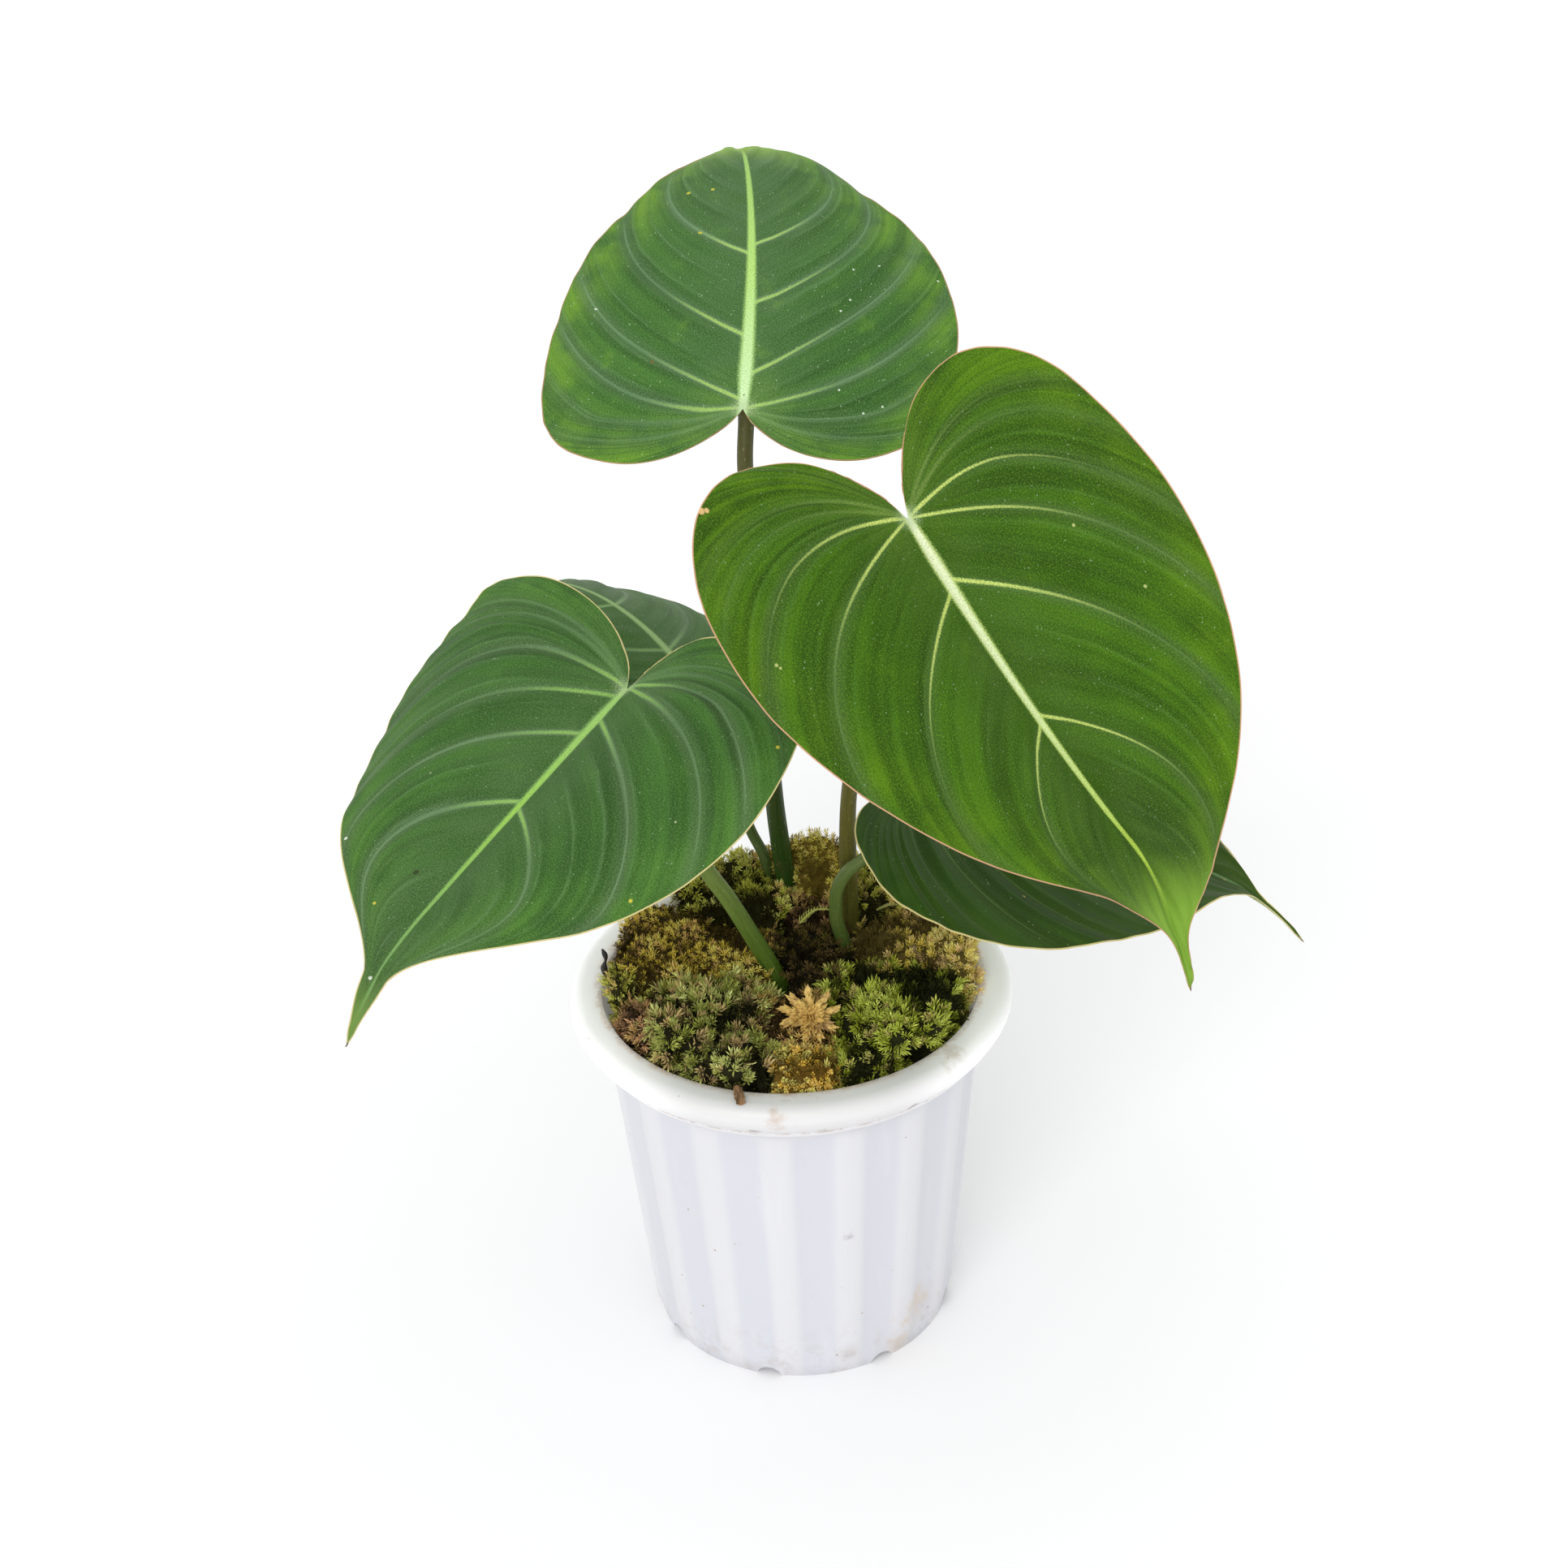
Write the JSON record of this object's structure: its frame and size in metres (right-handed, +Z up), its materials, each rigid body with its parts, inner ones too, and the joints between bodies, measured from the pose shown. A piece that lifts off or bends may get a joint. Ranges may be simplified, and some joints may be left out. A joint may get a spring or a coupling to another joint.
{
  "type": "potted philodendron gloriosum",
  "caption": "Young creeping aroid with heart-shaped, pale-veined velvet leaves on upright petioles, growing from a moss-topped mix in a white ribbed nursery pot.",
  "frame": {"origin": "middle of the pot's flat underside pad", "axes": "+Z up along the pot's axis; -Y is the front, from which the leaf faces show; +X to the right seen from the front"},
  "size_m": [0.272, 0.2869, 0.313],
  "materials": {
    "pot": "white injection-moulded plastic, slightly translucent, satin gloss, light soil marks",
    "mix": "dark crumbly potting mix",
    "stem": "ringed olive creeping stem",
    "petiole": "smooth green stalk with fine striations",
    "blade": "velvety mid green with pale yellow-white veins and a thin pinkish margin",
    "moss": "feathery star-shaped tufts, olive, bright green and straw",
    "root": "dry black root",
    "sprig": "fine leafy moss sprig",
    "dry": "thin dry plant scrap"
  },
  "bodies": {
    "root": {"pot": "pot", "potting_mix": "mix", "creeping_stem": "stem", "petiole_front_right": "petiole", "blade_front_right": "blade", "petiole_front_left": "petiole", "blade_front_left": "blade", "petiole_top": "petiole", "blade_top": "blade", "petiole_low_right": "petiole", "blade_low_right": "blade", "petiole_back_left": "petiole", "blade_back_left": "blade", "moss_left": "moss", "moss_back_left": "moss", "moss_back": "moss", "moss_back_right": "moss", "moss_middle_back": "moss", "moss_right": "moss", "moss_centre": "moss", "moss_front_right": "moss", "moss_right_edge": "moss", "moss_front_low": "moss", "moss_straw_rosette": "moss", "moss_golden": "moss", "moss_front_left": "moss", "moss_blue_green": "moss", "moss_brown_edge": "moss", "moss_left_edge": "moss", "moss_far_left": "moss", "black_root_tip": "root", "fern_sprig": "sprig", "pale_sprig": "sprig", "seed_husk": "dry", "dry_flake": "dry"}
  },
  "joints": []
}
